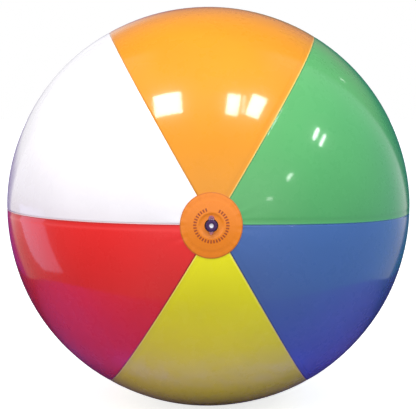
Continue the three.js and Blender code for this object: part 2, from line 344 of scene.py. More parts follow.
def spun(name, outline, edge=0.12 * MM):
    """A solid of revolution about the valve's axis from a closed outline of (radius, level)."""
    profile = rounded(outline, edge)
    sides = ROUND_SIDES
    angles = np.arange(sides) * 2 * math.pi / sides
    points = [(p.x * math.cos(a), -p.y, p.x * math.sin(a)) for p in profile for a in angles]
    faces = []
    count = len(profile)
    for i in range(count):
        j = (i + 1) % count
        if profile[i].x < ON_AXIS and profile[j].x < ON_AXIS:
            continue
        for k in range(sides):
            m = (k + 1) % sides
            faces.append((i * sides + k, i * sides + m, j * sides + m, j * sides + k))
    return finish_mesh(name, points, faces)


def lug(name, width, start, end, bottom, top, side, edge=0.12 * MM):
    """A flat lug with a rounded end, out from the valve's axis: up for side 1, down for -1."""
    half = width / 2
    centre = end - half
    corners = [(-half, start), (half, start)]
    steps = ROUND_SIDES // 4
    for step in range(steps + 1):
        angle = math.pi * step / steps
        corners.append((half * math.cos(angle), centre + half * math.sin(angle)))
    count = len(corners)
    points = [(side * x, -level, side * z) for level in (bottom, top) for x, z in corners]
    faces = [tuple(range(count)), tuple(range(2 * count - 1, count - 1, -1))]
    for i in range(count):
        j = (i + 1) % count
        faces.append((i, j, count + j, count + i))
    piece = finish_mesh(name, points, faces)
    bevel = piece.modifiers.new("bevel", "BEVEL")
    bevel.width = edge
    bevel.segments = 3
    bevel.angle_limit = math.radians(60)
    return piece


def apply_modifiers(piece):
    """Turns the piece's modifiers into mesh."""
    bpy.context.view_layer.update()
    graph = bpy.context.evaluated_depsgraph_get()
    mesh = bpy.data.meshes.new_from_object(piece.evaluated_get(graph))
    piece.modifiers.clear()
    piece.data = mesh
    mesh.shade_smooth()
    mesh.set_sharp_from_angle(angle=SHARP_ANGLE)


def joined(piece, other):
    """One solid from two that overlap."""
    apply_modifiers(other)
    union = piece.modifiers.new("union", "BOOLEAN")
    union.operation = "UNION"
    union.solver = "EXACT"
    union.object = other
    apply_modifiers(piece)
    bpy.data.objects.remove(other)
    return piece


def point_values(piece, name, values):
    """Stores one number for each of the piece's points, for its material to read."""
    attribute = piece.data.attributes.new(name, "FLOAT", "POINT")
    attribute.data.foreach_set("value", np.asarray(values, dtype=np.float32))


# ------------------------------------------------------------------ materials

VINYL_IOR = 1.5
PEEL_DEPTH = 0.002 * MM  # the film's faint orange peel
RIB_PITCH = 1.4 * MM  # the ribs that the weld's tool presses in
RIB_DEPTH = 0.006 * MM
# The lines at a seam are painted highlight and painted shade.
PAINTED_LINE_STRENGTH = 0.8  # how strongly the lines at a seam are coloured


def new_material(name):
    """A material with one shader, and its node tree."""
    material = bpy.data.materials.new(name)
    material.use_nodes = True
    tree = material.node_tree
    tree.nodes.clear()
    shader = tree.nodes.new("ShaderNodeBsdfPrincipled")
    output = tree.nodes.new("ShaderNodeOutputMaterial")
    tree.links.new(shader.outputs[0], output.inputs["Surface"])
    return material, tree, shader


def noise(tree, scale, detail=3.0, roughness=0.5):
    """Cloudy noise, mostly from 0.3 to 0.7."""
    place = tree.nodes.new("ShaderNodeTexCoord")
    texture = tree.nodes.new("ShaderNodeTexNoise")
    texture.inputs["Scale"].default_value = scale
    texture.inputs["Detail"].default_value = detail
    texture.inputs["Roughness"].default_value = roughness
    tree.links.new(place.outputs["Object"], texture.inputs["Vector"])
    return texture.outputs["Fac"]


def ranged(tree, value, low, high, from_low=0.3, from_high=0.7):
    """From low to high as the value goes from from_low to from_high, and no further."""
    node = tree.nodes.new("ShaderNodeMapRange")
    node.inputs["From Min"].default_value = from_low
    node.inputs["From Max"].default_value = from_high
    node.inputs["To Min"].default_value = low
    node.inputs["To Max"].default_value = high
    tree.links.new(value, node.inputs["Value"])
    return node.outputs["Result"]


def mixed(tree, factor, first, second):
    """A colour between two, each a socket or a plain colour."""
    node = tree.nodes.new("ShaderNodeMix")
    node.data_type = "RGBA"
    tree.links.new(factor, node.inputs["Factor"])
    for socket, color in ((node.inputs[6], first), (node.inputs[7], second)):
        if isinstance(color, tuple):
            socket.default_value = (*color, 1)
        else:
            tree.links.new(color, socket)
    return node.outputs[2]


def attribute(tree, name):
    """A number that point_values stored."""
    node = tree.nodes.new("ShaderNodeAttribute")
    node.attribute_name = name
    return node.outputs["Fac"]


def product(tree, first, second):
    return computed(tree, "MULTIPLY", first, second)


def computed(tree, operation, first, second=0):
    """A sum, product or the like of two values, each a socket or a plain number."""
    node = tree.nodes.new("ShaderNodeMath")
    node.operation = operation
    for socket, value in zip(node.inputs, (first, second)):
        if isinstance(value, (int, float)):
            socket.default_value = value
        else:
            tree.links.new(value, socket)
    return node.outputs[0]


def bumped(tree, height, distance, before=None):
    """A normal for a fine relief of this height, on top of another relief's."""
    node = tree.nodes.new("ShaderNodeBump")
    node.inputs["Distance"].default_value = distance
    node.inputs["Strength"].default_value = 1
    tree.links.new(height, node.inputs["Height"])
    if before is not None:
        tree.links.new(before, node.inputs["Normal"])
    return node.outputs["Normal"]


def tinted(color, factor):
    return tuple(min(1.0, c * factor) for c in color)


def set_values(shader, **values):
    """Sets the shader's sockets, named with underscores for spaces, to plain values."""
    for name, value in values.items():
        shader.inputs[name.replace("_", " ")].default_value = value


def film_color(tree, film):
    """Cloudy pigment, duller on the welds, with lines of painted highlight and painted shade drawn
    in at a seam.
    """
    color = FILM_COLORS[film]
    cloud = ranged(tree, noise(tree, 11, 4.0), 0, 1)
    surface = mixed(tree, cloud, tinted(color, 0.95), tinted(color, 1.04))
    weld = product(tree, attribute(tree, "weld"), 0.5)
    surface = mixed(tree, weld, surface, tinted(color, 0.93))
    # Paint the seam's lines of highlight and shade over the pigment.
    for line, colors in (("cut", PAINTED_CUT_LINES), ("lap", PAINTED_LAP_LINES)):
        share = product(tree, attribute(tree, line), PAINTED_LINE_STRENGTH)
        surface = mixed(tree, share, surface, colors[film])
    return surface


def film_material(film):
    """Pigmented soft vinyl, hazy below a smooth skin, with ribs pressed into its welds."""
    material, tree, shader = new_material(f"vinyl_{film}")
    tree.links.new(film_color(tree, film), shader.inputs["Base Color"])
    weld = attribute(tree, "weld")
    haze = ranged(tree, noise(tree, 38, 5.0, 0.65), 0.22, 0.34)
    rough = computed(tree, "ADD", haze, product(tree, weld, 0.06))
    tree.links.new(rough, shader.inputs["Roughness"])
    peel = bumped(tree, noise(tree, 420, 2.0), PEEL_DEPTH)
    turns = product(tree, attribute(tree, "along"), 2 * math.pi / RIB_PITCH)
    rib = product(tree, computed(tree, "SINE", turns), weld)
    tree.links.new(bumped(tree, rib, RIB_DEPTH, peel), shader.inputs["Normal"])
    tree.links.new(peel, shader.inputs["Coat Normal"])
    set_values(shader, IOR=VINYL_IOR, Specular_IOR_Level=0.15)
    set_values(shader, Coat_Weight=0.85, Coat_Roughness=0.08, Coat_IOR=VINYL_IOR)
    return material


def valve_material(name, color, transmission, low=0.1, high=0.22):
    """Clear soft vinyl with the faint haze of its mould."""
    material, tree, shader = new_material(name)
    haze = ranged(tree, noise(tree, 260, 4.0), 0, 1)
    tint = mixed(tree, haze, tinted(color, 0.92), tinted(color, 1.04))
    tree.links.new(tint, shader.inputs["Base Color"])
    tree.links.new(ranged(tree, noise(tree, 900), low, high), shader.inputs["Roughness"])
    tree.links.new(bumped(tree, noise(tree, 1500, 2.0), 0.01 * MM), shader.inputs["Normal"])
    set_values(shader, IOR=VINYL_IOR, Transmission_Weight=transmission)
    return material


def print_material():
    """Screen-printed ink, a little broken at its edges."""
    material, tree, shader = new_material("print_ink")
    worn = ranged(tree, noise(tree, 1400), 0, 1)
    ink = mixed(tree, worn, PRINT_COLOR, tinted(PRINT_COLOR, 1.3))
    tree.links.new(ink, shader.inputs["Base Color"])
    tree.links.new(ranged(tree, worn, 0.25, 0.4, 0, 1), shader.inputs["Roughness"])
    return material


def dress(piece, body, slot, material, *nodes):
    """Gives a piece its material and body, and hides the CAD nodes that it replaces. The slot is
    not used.
    """
    piece.data.materials.clear()
    piece.data.materials.append(material)
    if body:
        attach(piece, body)
    if nodes:
        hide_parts(*nodes)
    return piece


# ------------------------------------------------------------------ film pieces

BAND = (0.8 * MM, 5.2 * MM)  # the weld's band, from the upper panel's cut edge
BAND_SLOPE = 0.4 * MM
BAND_DEPTH = 0.05 * MM
STEP_FROM = 1.6 * MM  # where the lower film starts to step down, before the upper one's edge
STEP_TO = 0.4 * MM
# The cut edge's line is a painted highlight on the paler films and painted shade on the darker
# ones.
CUT_LINE = (0.7 * MM, 1.2 * MM)  # the line along the cut edge fades out between these
EDGE_ROUND = 0.25 * MM
EDGE_DROP = 0.12 * MM
# Where a panel's columns of points stand, in millimetres: from its cut edge, before the next
# panel's cut edge, and past that edge.
NEAR = [0, 0.1, 0.25, 0.8, 1.2, 3.0, 4.8, 5.2, 7.0, 9.5, 12.0]
FAR = [12.0, 9.0, 6.5, 4.5, 3.0, 2.0, 1.6, 1.3, 1.0, 0.7, 0.4]
UNDER = [0, 0.8, 1.2, 3.0, 4.8, 5.2, 6.0]
MIDDLE_CELLS = 22
ROW_LENGTH = 3 * MM
CROWDED_WIDTH = 28 * MM  # a row narrower than this packs its edge columns closer
DISC_SIDES = 168
DISC_EDGE_ROWS = [0.6, 0.25, 0.1, 0]  # millimetres from the disc's edge
DISC_ROW_LENGTH = 0.6 * MM
DIMPLE_SLOPE = (0.1 * MM, 2.1 * MM)  # the dimple's wall, out from the flange's edge
IMPRINT_RADIUS = 7.6 * MM  # the flange's weld shows as a ring in the dimple's floor
IMPRINT_HALF_WIDTHS = (0.9 * MM, 0.6 * MM)
IMPRINT_DEPTH = 0.05 * MM


def pressed_band(distance):
    """1 inside the weld's band and 0 outside it, by the distance from the cut edge."""
    rise = smooth(distance, BAND[0], BAND[0] + BAND_SLOPE)
    fall = smooth(distance, BAND[1] - BAND_SLOPE, BAND[1])
    return rise * (1 - fall)


def panel_columns(width):
    """Distances from a panel's cut edge across rows of these widths: rows by columns."""
    scale = np.minimum(1, width / CROWDED_WIDTH)
    near = np.array(NEAR) * MM * scale
    far = width - np.array(FAR) * MM * scale
    share = np.arange(1, MIDDLE_CELLS) / MIDDLE_CELLS
    middle = near[:, -1:] * (1 - share) + far[:, :1] * share
    under = width + np.array(UNDER) * MM * scale
    return np.concatenate([near, middle, far, under], axis=1)


def panel(color, index):
    """One film from disc to disc, with its margin stepped down below the next one."""
    tip = math.asin(TIP_RADIUS / BALL_RADIUS)
    rows = round(BALL_RADIUS * (math.pi - 2 * tip) / ROW_LENGTH)
    polar = np.linspace(tip, math.pi - tip, rows + 1)[:, None]
    around = BALL_RADIUS * np.sin(polar)
    start = seam_azimuth(index, polar)
    width = around * (seam_azimuth(index + 1, polar) - start)
    across = panel_columns(width)
    azimuth = start + across / around
    beyond = across - width
    lapped = smooth(beyond, -STEP_FROM, -STEP_TO)
    cut = EDGE_DROP * (1 - smooth(across, 0, EDGE_ROUND))
    band = pressed_band(across) + pressed_band(beyond)
    drop = cut + LAP_STEP * lapped + BAND_DEPTH * band
    polar = np.broadcast_to(polar, across.shape)
    outside = film_point(polar, azimuth, drop)
    inside = film_point(polar, azimuth, drop + FILM)
    piece = grid_shell(f"film_{color}", outside, inside)
    # Where the cut edge's painted line is drawn: highlight on green, orange and yellow, shade on
    # red and blue.
    line = 1 - smooth(across, *CUT_LINE)
    # lap marks the step, and also where its painted shade is drawn.
    names = {"weld": band, "lap": lapped, "cut": line, "along": BALL_RADIUS * polar}
    for name, values in names.items():
        point_values(piece, name, np.tile(values.ravel(), 2))
    return dress(piece, "envelope", f"film_{color}", film_material(color), f"panel_{color}")


def disc_radii(first):
    """The radii of a disc's rings of points, outwards from the first."""
    edge = [DISC_RADIUS - distance * MM for distance in DISC_EDGE_ROWS]
    count = round((edge[0] - first) / DISC_ROW_LENGTH)
    return np.concatenate([np.linspace(first, edge[0], count + 1)[:-1], edge])


def dimpled(points, radius, drop):
    """The film's points with those near the valve let down to the land round it."""
    share = smooth(radius, FLANGE_RADIUS + DIMPLE_SLOPE[0], FLANGE_RADIUS + DIMPLE_SLOPE[1])
    imprint = IMPRINT_DEPTH * smooth(np.abs(radius - IMPRINT_RADIUS), *IMPRINT_HALF_WIDTHS)
    land = LAND_LEVEL - imprint - drop
    points[..., 1] = points[..., 1] * share - land * (1 - share)


def pole_disc(name, first, rear):
    """A film disc over the panels' tips. The front one dips to the land round the valve."""
    radius = disc_radii(first)[:, None]
    azimuth = np.arange(DISC_SIDES)[None, :] * 2 * math.pi / DISC_SIDES
    radius, azimuth = np.broadcast_arrays(radius, azimuth)
    reach = 1 - DISC_OVAL * np.cos(2 * azimuth) * smooth(radius, FLANGE_RADIUS, DISC_RADIUS)
    polar = np.arcsin(radius * reach / BALL_RADIUS)
    if rear:
        polar = math.pi - polar
    cut = EDGE_DROP * smooth(radius, DISC_RADIUS - EDGE_ROUND, DISC_RADIUS)
    outside = film_point(polar, azimuth, cut - LAP_STEP)
    inside = film_point(polar, azimuth, cut - LAP_STEP + FILM)
    if not rear:
        dimpled(outside, radius, 0)
        dimpled(inside, radius, FILM)
    piece = grid_shell(name, outside, inside, wrap=True)
    if not rear:
        # Painted shade along the front disc's cut edge, as the thin shadow the edge would cast.
        line = smooth(radius, DISC_RADIUS - CUT_LINE[1], DISC_RADIUS - CUT_LINE[0])
        point_values(piece, "cut", np.tile(line.ravel(), 2))
    return piece


def front_disc():
    piece = pole_disc("film_front_disc", WELL_RADIUS, rear=False)
    return dress(piece, "envelope", "film_disc", disc_vinyl, "front_disc")


def rear_disc():
    piece = pole_disc("film_rear_disc", 0, rear=True)
    return dress(piece, "envelope", "film_disc", disc_vinyl, "rear_disc")


# ------------------------------------------------------------------ the printed dial

TICKS = 32
TICK_RADIUS = 13.9 * MM
TICK_LENGTH = 2.8 * MM
TICK_WIDTH = 1.3 * MM
TICK_ROWS = 5
TICK_COLUMNS = 3
TICK_GAP_ANGLE = math.radians(38)  # left open
TICK_GAP_MIDDLE = math.radians(84)
INK = 0.03 * MM
INK_ROOT = 0.2 * INK  # how far the ink's underside is sunk into the disc


def printed_ticks():
    """Plain marks in a ring on the front disc, each a thin layer of ink."""
    points = []
    faces = []
    span = 2 * math.pi - TICK_GAP_ANGLE
    for i in range(TICKS):
        middle = TICK_GAP_MIDDLE + TICK_GAP_ANGLE / 2 + span * (i + 0.5) / TICKS
        radii = TICK_RADIUS + np.linspace(-0.5, 0.5, TICK_ROWS)[:, None] * TICK_LENGTH
        turn = np.linspace(-0.5, 0.5, TICK_COLUMNS)[None, :] * TICK_WIDTH / TICK_RADIUS
        radii, angles = np.broadcast_arrays(radii, middle + turn)
        polar = np.arcsin(radii / BALL_RADIUS)
        top = film_point(polar, angles, -LAP_STEP - INK)
        bottom = film_point(polar, angles, -LAP_STEP + INK_ROOT)
        first = len(points)
        points += [*top.reshape(-1, 3), *bottom.reshape(-1, 3)]
        faces += [tuple(first + k for k in face) for face in shell_faces(TICK_ROWS, TICK_COLUMNS)]
    piece = finish_mesh("printed_dial", points, faces)
    return dress(piece, "envelope", "film_disc", print_material())


# ------------------------------------------------------------------ valve pieces

SKIRT_TOP_RADIUS = 5.75 * MM
SKIRT_WALL = 0.42 * MM
SKIRT_SINK = 0.1 * MM  # how far the skirt's upper end reaches into the flange
SKIRT_RIPPLE = 0.08 * MM
SKIRT_RIPPLES = 3
SKIRT_ROWS = 33
STEM_EDGE = 0.15 * MM
FLAP_EDGE = 0.1 * MM
FLAP_WEB = (3.3 * MM, 5.0 * MM)  # the flap's thin hinge starts inside it and reaches this far
FLAP_WEB_HALF = 0.2 * MM
FLAP_WEB_EDGE = 0.05 * MM
SHANK_TIP_RADIUS = 1.87 * MM
SHANK_MIDDLE_RADIUS = 2.55 * MM
SHANK_MIDDLE_DEPTH = 2 * MM  # of the taper's knee below the stem's rim
SHANK_TOP_RADIUS = 3.05 * MM
HEAD_EDGE = 0.3 * MM
TAB_EDGE = 0.2 * MM
HOLLOW_RADIUS = 1.9 * MM
HOLLOW_FLARE = 0.25 * MM
HOLLOW_FLARE_DEPTH = 0.8 * MM
HOLLOW_DEPTH = 0.9 * MM
# The hollow's frosted floor is painted near white as a highlight.
HIGHLIGHT_FLOOR_INSET = 0.02 * MM  # from the hollow's wall to its frosted floor
TAB_START = HEAD_RADIUS + 0.1 * MM  # the plug is clear from here out
STRAP_OVERLAP = 0.05 * MM  # into the plug's head
STRAP_INSET = 0.2 * MM  # from the ear's side
STRAP_ROWS = 41
STRAP_COLUMNS = 13
STRAP_WAIST = 0.14 * MM  # how much each face of the strap dips at the line it bends about
STRAP_WAIST_LENGTH = 0.45 * MM
STRAP_ROOT = (6.9 * MM, 7.5 * MM)  # between these heights the strap goes down to the ear
STRAP_ROOT_GAP = 0.02 * MM


def flange():
    outline = [
        (WELL_RADIUS, FLANGE_BOTTOM),
        (FLANGE_RADIUS, FLANGE_BOTTOM),
        (FLANGE_RADIUS, FLANGE_TOP),
        (WELL_RADIUS, FLANGE_TOP),
    ]
    piece = spun("valve_flange_ring", outline)
    return dress(piece, "envelope", "valve_vinyl", clear_vinyl, "valve_flange")


def skirt():
    """The thin funnel from the flange to the stem's collar. On the real valve it stretches with
    the stem.
    """
    share = np.linspace(0, 1, SKIRT_ROWS)[:, None]
    angles = np.arange(ROUND_SIDES)[None, :] * 2 * math.pi / ROUND_SIDES
    top = FLANGE_BOTTOM + SKIRT_SINK
    level = top + (SKIRT_BOTTOM - top) * share
    ripple = SKIRT_RIPPLE * np.sin(share * 2 * math.pi * SKIRT_RIPPLES)
    outer = SKIRT_TOP_RADIUS + (COLLAR_RADIUS - SKIRT_TOP_RADIUS) * share + ripple

    def ring(radius):
        x = radius * np.cos(angles)
        z = radius * np.sin(angles)
        return np.stack([x, np.broadcast_to(-level, x.shape), z], axis=-1)

    piece = grid_shell("valve_skirt_wall", ring(outer), ring(outer - SKIRT_WALL), wrap=True)
    dress(piece, None, "valve_vinyl", clear_vinyl, "valve_skirt")
    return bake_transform(piece)


def grip_rings(first):
    """The outline's corners for the rings round the stem, from the first one's level up."""
    corners = []
    for i in range(GRIP_RINGS):
        middle = first + i * GRIP_RING_PITCH
        corners += [
            (STEM_RADIUS, middle - GRIP_RING_WIDTH / 2),
            (STEM_RADIUS + GRIP_RING_HEIGHT, middle),
            (STEM_RADIUS, middle + GRIP_RING_WIDTH / 2),
        ]
    return corners


def stem():
    """The tube with its collar, grip rings, rim and the flap's seat, and the ear for the strap."""
    collar_top = SKIRT_BOTTOM - MOULDED_GAP
    collar_bottom = collar_top - COLLAR_THICKNESS
    rim_bottom = RIM_TOP - RIM_THICKNESS
    seat_top = STEM_END + SEAT_THICKNESS
    outline = [
        (SEAT_RADIUS, STEM_END),
        (STEM_RADIUS, STEM_END),
        (STEM_RADIUS, collar_bottom),
        (COLLAR_RADIUS, collar_bottom),
        (COLLAR_RADIUS, collar_top),
        (STEM_RADIUS, collar_top),
        *grip_rings((collar_top + rim_bottom) / 2 - GRIP_RING_PITCH),
        (STEM_RADIUS, rim_bottom),
        (RIM_RADIUS, rim_bottom),
        (RIM_RADIUS, RIM_TOP),
        (BORE_RADIUS, RIM_TOP),
        (BORE_RADIUS, seat_top),
        (SEAT_RADIUS, seat_top),
    ]
    tube = spun("valve_stem_tube", outline, STEM_EDGE)
    ear = lug("ear", EAR_WIDTH, RIM_RADIUS - LUG_ROOT, EAR_REACH, rim_bottom, RIM_TOP, 1)
    piece = joined(tube, ear)
    return dress(piece, "stem", "valve_vinyl", clear_vinyl, "valve_stem")


def flap():
    outline = [
        (0, FLAP_BOTTOM),
        (FLAP_RADIUS, FLAP_BOTTOM),
        (FLAP_RADIUS, FLAP_TOP),
        (0, FLAP_TOP),
    ]
    disc = spun("valve_check_flap", outline, FLAP_EDGE)
    middle = (FLAP_TOP + FLAP_BOTTOM) / 2
    faces = (middle - FLAP_WEB_HALF, middle + FLAP_WEB_HALF)
    web = lug("web", FLAP_HINGE_WIDTH, *FLAP_WEB, *faces, 1, FLAP_WEB_EDGE)
    piece = joined(disc, web)
    return dress(piece, "flap", "valve_vinyl", clear_vinyl, "check_flap")


def plug_body():
    """The plug's tapered shank and its head with the hollow, and the tab that is pulled."""
    head_bottom = RIM_TOP + HEAD_GAP
    outline = [
        (0, SHANK_END),
        (SHANK_TIP_RADIUS, SHANK_END),
        (SHANK_MIDDLE_RADIUS, RIM_TOP - SHANK_MIDDLE_DEPTH),
        (SHANK_TOP_RADIUS, RIM_TOP),
        (SHANK_TOP_RADIUS, head_bottom),
        (HEAD_RADIUS, head_bottom),
        (HEAD_RADIUS, HEAD_TOP),
        (HOLLOW_RADIUS + HOLLOW_FLARE, HEAD_TOP),
        (HOLLOW_RADIUS, HEAD_TOP - HOLLOW_FLARE_DEPTH),
        (HOLLOW_RADIUS, HEAD_TOP - HOLLOW_DEPTH),
        (0, HEAD_TOP - HOLLOW_DEPTH),
    ]
    head = spun("valve_plug_head", outline, HEAD_EDGE)
    faces = (head_bottom, head_bottom + TAB_THICKNESS)
    tab = lug("tab", TAB_WIDTH, HEAD_RADIUS - LUG_ROOT, TAB_REACH, *faces, -1, TAB_EDGE)
    return joined(head, tab)


def plug():
    """The plug, darkened with painted shade, with a painted highlight on the pale floor of its
    hollow, and a clear tab.
    """
    piece = plug_body()
    dress(piece, "plug", "valve_vinyl", plug_shade_vinyl, "valve_plug")
    piece.data.materials.append(hollow_highlight_vinyl)
    piece.data.materials.append(clear_vinyl)
    for face in piece.data.polygons:
        centre = face.center
        in_hollow = math.hypot(centre.x, centre.z) < HOLLOW_RADIUS - HIGHLIGHT_FLOOR_INSET
        faces_front = face.normal.y < -0.5
        # The front-facing floor of the hollow gets the painted highlight.
        if in_hollow and faces_front:
            face.material_index = 1
        if -centre.z > TAB_START:
            face.material_index = 2
    return piece


def strap():
    """The flat strap from the stem's ear to the plug's head, thin at the line it bends about."""
    height = np.linspace(HEAD_RADIUS - STRAP_OVERLAP, EAR_REACH, STRAP_ROWS)[:, None]
    half = EAR_WIDTH / 2
    past = np.maximum(0, height - (EAR_REACH - half)) / half
    width = (half - STRAP_INSET) * np.sqrt(np.maximum(0, 1 - past**2))
    x = width * np.linspace(-1, 1, STRAP_COLUMNS)[None, :]
    waist = STRAP_WAIST * np.exp(-(((height - HINGE_HEIGHT) / STRAP_WAIST_LENGTH) ** 2))
    rooted = smooth(height, *STRAP_ROOT) * (STRAP_BOTTOM - RIM_TOP - STRAP_ROOT_GAP)

    def sheet(level):
        y = np.broadcast_to(-level, x.shape)
        return np.stack([x, y, np.broadcast_to(height, x.shape)], axis=-1)

    top = sheet(STRAP_TOP - waist)
    bottom = sheet(STRAP_BOTTOM + waist - rooted)
    piece = grid_shell("valve_plug_strap", top, bottom)
    dress(piece, None, "valve_vinyl", clear_vinyl, "plug_strap")
    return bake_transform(piece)


# ------------------------------------------------------------------ stage, light and camera

FLOOR_HALF_WIDTH = 30
FLOOR_GREY = (0.9, 0.9, 0.9)
FLOOR_GLOW = 0.75


def stage_sheet(name, points):
    """A flat face of the stage, through these corners, and its matt material's tree and shader."""
    mesh = bpy.data.meshes.new(name)
    mesh.from_pydata(points, [], [tuple(range(len(points)))])
    sheet = bpy.data.objects.new(name, mesh)
    bpy.context.scene.collection.objects.link(sheet)
    material, tree, shader = new_material(f"{name}_surface")
    set_values(shader, Roughness=1, Specular_IOR_Level=0)
    mesh.materials.append(material)
    return sheet, tree, shader


def studio_floor():
    """The pale floor, which glows a little and casts nothing on the ball or its reflections."""
    near, far = -FLOOR_HALF_WIDTH, FLOOR_HALF_WIDTH
    corners = [(near, near), (far, near), (far, far), (near, far)]
    floor, _, shader = stage_sheet("floor", [(x, y, FLOOR) for x, y in corners])
    set_values(shader, Base_Color=(*FLOOR_GREY, 1))
    set_values(shader, Emission_Color=(1, 1, 1, 1), Emission_Strength=FLOOR_GLOW)
    floor.visible_diffuse = False
    floor.visible_glossy = False
    floor.visible_transmission = False
    floor.visible_shadow = False


LAMP_DISTANCE = 1.6


def lamp(name, toward, width, height, radiance, roll=0):
    """A soft box that shines on the ball from a direction, turned by roll degrees about it."""
    light = bpy.data.lights.new(name, "AREA")
    light.shape = "RECTANGLE"
    light.size = width
    light.size_y = height
    light.energy = radiance * math.pi * width * height
    item = bpy.data.objects.new(name, light)
    bpy.context.scene.collection.objects.link(item)
    place = Vector(toward).normalized() * LAMP_DISTANCE
    item.location = place
    facing = (-place).to_track_quat("-Z", "Y")
    item.rotation_mode = "QUATERNION"
    item.rotation_quaternion = facing @ Quaternion((0, 0, 1), math.radians(roll))
    item.visible_camera = False


def studio_lamps():
    """Ceiling lamps in front of the ball and small lights to its right.

    Each has a direction from the ball, a width and height in metres, a radiance and a roll.
    """
    lamp("ceiling_left", (-0.32, -0.45, 0.83), 0.38, 0.37, 24, roll=30)
    lamp("ceiling_right_a", (0.18, -0.49, 0.85), 0.155, 0.36, 24, roll=-22)
    lamp("ceiling_right_strip", (0.26, -0.47, 0.84), 0.03, 0.33, 10, roll=-26)
    lamp("ceiling_right_b", (0.36, -0.45, 0.82), 0.195, 0.38, 24, roll=-44)
    lamp("tube_a", (0.78, -0.30, 0.55), 0.03, 0.2, 42, roll=-62)
    lamp("tube_b", (0.82, -0.28, 0.50), 0.025, 0.2, 38, roll=-62)
    lamp("spot_a", (0.65, -0.70, 0.30), 0.035, 0.11, 24, roll=-50)
    lamp("spot_b", (0.50, -0.86, 0.13), 0.09, 0.05, 8)
    lamp("spot_c", (0.64, 0.53, 0.56), 0.03, 0.05, 4)


# The room that the ball mirrors. Edges are shares of a direction along X, Y or Z, from where a
# change begins to where it is complete.
FRONT_WALL = (0.84, 0.82, 0.86)
FRONT_GLOW = (1.26, 1.24, 1.28)  # a brighter band just above the horizon
FRONT_GLOW_TOP = (0.3, 0.6)
LOW_WALL = (0.50, 0.45, 0.46)
LOW_WALL_TOP = (-0.2, 0.05)
RIGHT_WALL = (0.30, 0.46, 0.58)
LEFT_LOW = (0.36, 0.19, 0.16)
LEFT_LOW_TOP = (-0.12, 0.02)
LEFT_SIDE = (0.82, 0.82, 0.86)
MIDDLE = (-0.1, 0.1)  # from left to right
SIDE_WALLS_FROM = (0.45, 0.85)
LEFT_WALL = (0.75, 0.75, 0.77)  # behind the ball, on the left
LEFT_WALL_EDGE = (-0.05, -0.2)
LEFT_WALL_BOTTOM = (0.02, 0.1)
LEFT_WALL_TOP = (0.5, 0.3)
CEILING = (0.22, 0.22, 0.24)
CEILING_BOTTOM = (0.2, 0.35)
REAR_HIGH = (0.28, 0.20, 0.26)
REAR_HIGH_FROM = (0.76, 0.79)
REAR_HIGH_SIDE = (0.5, 0.35)
REAR_RIGHT = (0.01, 0.10, 0.13)
REAR_LEFT = (0.08, 0.03, 0.26)
FRONT_FROM = (0.5, -0.2)
CORNER = (0.89, 0.85)  # how far back the side walls run
CORNER_SIDE = (0.2, 0.4)
CORNER_LEVEL = -0.08  # where they run back furthest
CORNER_SLANT = 0.55  # how much sooner they end above and below that


def change(tree, value, edge):
    """From 0 to 1 across an edge, which may begin at its higher end."""
    start, end = edge
    low, high = (0, 1) if start < end else (1, 0)
    return ranged(tree, value, low, high, min(edge), max(edge))


def rear_room(tree, x, y, z, beside):
    """The colours of the dark room behind the ball, with a pale wall on its left."""
    over = product(tree, change(tree, y, REAR_HIGH_FROM), change(tree, beside, REAR_HIGH_SIDE))
    high = mixed(tree, over, CEILING, REAR_HIGH)
    low = mixed(tree, change(tree, x, MIDDLE), REAR_LEFT, REAR_RIGHT)
    room = mixed(tree, change(tree, z, CEILING_BOTTOM), low, high)
    level = product(tree, change(tree, z, LEFT_WALL_BOTTOM), change(tree, z, LEFT_WALL_TOP))
    on_left = product(tree, change(tree, x, LEFT_WALL_EDGE), level)
    return mixed(tree, on_left, room, LEFT_WALL)


def front_room(tree, x, z, beside):
    """The colours of the bright walls in front of the ball and beside it."""
    wall = mixed(tree, change(tree, z, FRONT_GLOW_TOP), FRONT_GLOW, FRONT_WALL)
    wall = mixed(tree, change(tree, z, LOW_WALL_TOP), LOW_WALL, wall)
    left = mixed(tree, change(tree, z, LEFT_LOW_TOP), LEFT_LOW, LEFT_SIDE)
    side = mixed(tree, change(tree, x, MIDDLE), left, RIGHT_WALL)
    return mixed(tree, change(tree, beside, SIDE_WALLS_FROM), wall, side)


def studio_world():
    """White behind the ball. In reflections, a pale room, dark at the rear, bright on the left."""
    world = bpy.data.worlds.new("studio")
    bpy.context.scene.world = world
    world.use_nodes = True
    tree = world.node_tree
    tree.nodes.clear()
    place = tree.nodes.new("ShaderNodeTexCoord")
    split = tree.nodes.new("ShaderNodeSeparateXYZ")
    tree.links.new(place.outputs["Generated"], split.inputs[0])
    x, y, z = split.outputs
    beside = computed(tree, "ABSOLUTE", x)
    off_level = computed(tree, "ABSOLUTE", computed(tree, "ADD", z, -CORNER_LEVEL))
    slanted = computed(tree, "ADD", y, product(tree, off_level, CORNER_SLANT))
    at_side = product(tree, change(tree, beside, CORNER_SIDE), change(tree, slanted, CORNER))
    share = computed(tree, "MAXIMUM", change(tree, y, FRONT_FROM), at_side)
    rear = rear_room(tree, x, y, z, beside)
    room = mixed(tree, share, rear, front_room(tree, x, z, beside))
    rays = tree.nodes.new("ShaderNodeLightPath")
    shown = mixed(tree, rays.outputs["Is Camera Ray"], room, (1, 1, 1))
    background = tree.nodes.new("ShaderNodeBackground")
    output = tree.nodes.new("ShaderNodeOutputWorld")
    tree.links.new(shown, background.inputs["Color"])
    tree.links.new(background.outputs[0], output.inputs["Surface"])


TABLE_COLOR = (0.27, 0.15, 0.64)
TABLE_EDGE = (0.30, 0.21, 0.38)  # greyer near its front edge
TABLE_EDGE_END = -0.15
TABLE_FAR = (0.03, 0.02, 0.08)
TABLE_FAR_FROM = (-0.1, 0.18)
